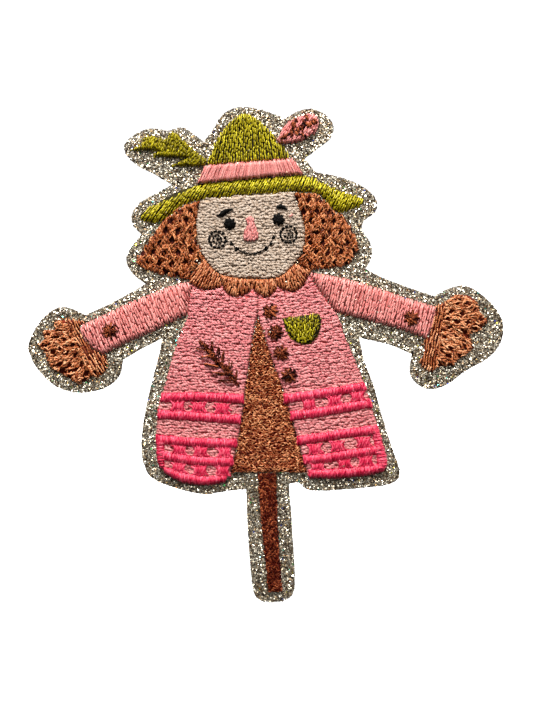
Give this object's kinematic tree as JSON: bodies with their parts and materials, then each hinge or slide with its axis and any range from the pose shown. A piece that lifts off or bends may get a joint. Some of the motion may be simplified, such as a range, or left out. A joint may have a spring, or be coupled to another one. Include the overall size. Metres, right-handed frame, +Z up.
{
  "type": "embroidered scarecrow patch",
  "caption": "Die-cut glitter cloth patch, embroidered with a scarecrow in a pointed hat and a plaid-hemmed coat on a pole, with a hot-melt film on its flat back.",
  "frame": {"origin": "middle of the flat adhesive back face", "axes": "+Z up along the figure, from its pole to its hat; +Y out of the back face, so the stitched front faces -Y; +X to the right as seen from the front"},
  "size_m": [0.0762, 0.0026, 0.0795],
  "materials": {
    "hot_melt_film": "milky hot-melt adhesive film with a fine pressed texture",
    "stabiliser": "white tear-away nonwoven",
    "bobbin_thread": "white 60-weight polyester bobbin thread",
    "glitter_cloth": "close-woven base cloth of the glitter fabric",
    "glitter": "coarse silver and champagne hexagonal glitter in clear binder, with a few holographic flakes",
    "thread_olive": "glossy trilobal polyester embroidery thread, yellow olive",
    "thread_pink": "glossy trilobal polyester embroidery thread, salmon pink",
    "thread_hot_pink": "glossy trilobal polyester embroidery thread, raspberry pink",
    "thread_rust": "glossy trilobal polyester embroidery thread, rust",
    "thread_copper": "glossy trilobal polyester embroidery thread, copper orange",
    "thread_metallic_copper": "metallic-wrapped embroidery thread, copper",
    "thread_dark_brown": "glossy trilobal polyester embroidery thread, dark brown",
    "thread_wine_brown": "metallic-wrapped embroidery thread, wine brown",
    "thread_beige": "glossy trilobal polyester embroidery thread, beige",
    "thread_rose": "glossy trilobal polyester embroidery thread, rose",
    "thread_black": "glossy trilobal polyester embroidery thread, black"
  },
  "bodies": {
    "root": {"adhesive_film": "hot_melt_film", "stabiliser": "stabiliser", "bobbin_thread": "bobbin_thread", "glitter_cloth": "glitter_cloth", "glitter_coat": "glitter", "hat_crown": "thread_olive", "hat_band": "thread_pink", "hat_brim": "thread_olive", "leaf_feather": "thread_olive", "pink_feather": "thread_pink", "pink_feather_veins": "thread_dark_brown", "hair_left": "thread_rust", "hair_right": "thread_rust", "face": "thread_beige", "eye_left": "thread_black", "eye_right": "thread_black", "brow_left": "thread_black", "brow_right": "thread_black", "nose": "thread_rose", "mouth": "thread_black", "cheek_left": "thread_black", "cheek_right": "thread_black", "collar_scallop_1": "thread_copper", "collar_scallop_2": "thread_copper", "collar_scallop_3": "thread_copper", "collar_scallop_4": "thread_copper", "sleeve_left": "thread_pink", "sleeve_right": "thread_pink", "cuff_button_left": "thread_dark_brown", "cuff_button_right": "thread_dark_brown", "straw_hand_left": "thread_rust", "straw_hand_right": "thread_rust", "coat_left": "thread_pink", "coat_right": "thread_pink", "dress": "thread_metallic_copper", "coat_button_1": "thread_dark_brown", "coat_button_2": "thread_dark_brown", "coat_button_3": "thread_dark_brown", "coat_button_4": "thread_dark_brown", "pocket": "thread_olive", "wheat_sprig": "thread_dark_brown", "upper_stripes_left": "thread_hot_pink", "upper_stripes_right": "thread_hot_pink", "upper_checks_left": "thread_hot_pink", "upper_checks_right": "thread_hot_pink", "hem_frame_left": "thread_hot_pink", "hem_frame_right": "thread_hot_pink", "hem_checks_left": "thread_hot_pink", "hem_checks_right": "thread_hot_pink", "pole": "thread_wine_brown"}
  },
  "joints": []
}
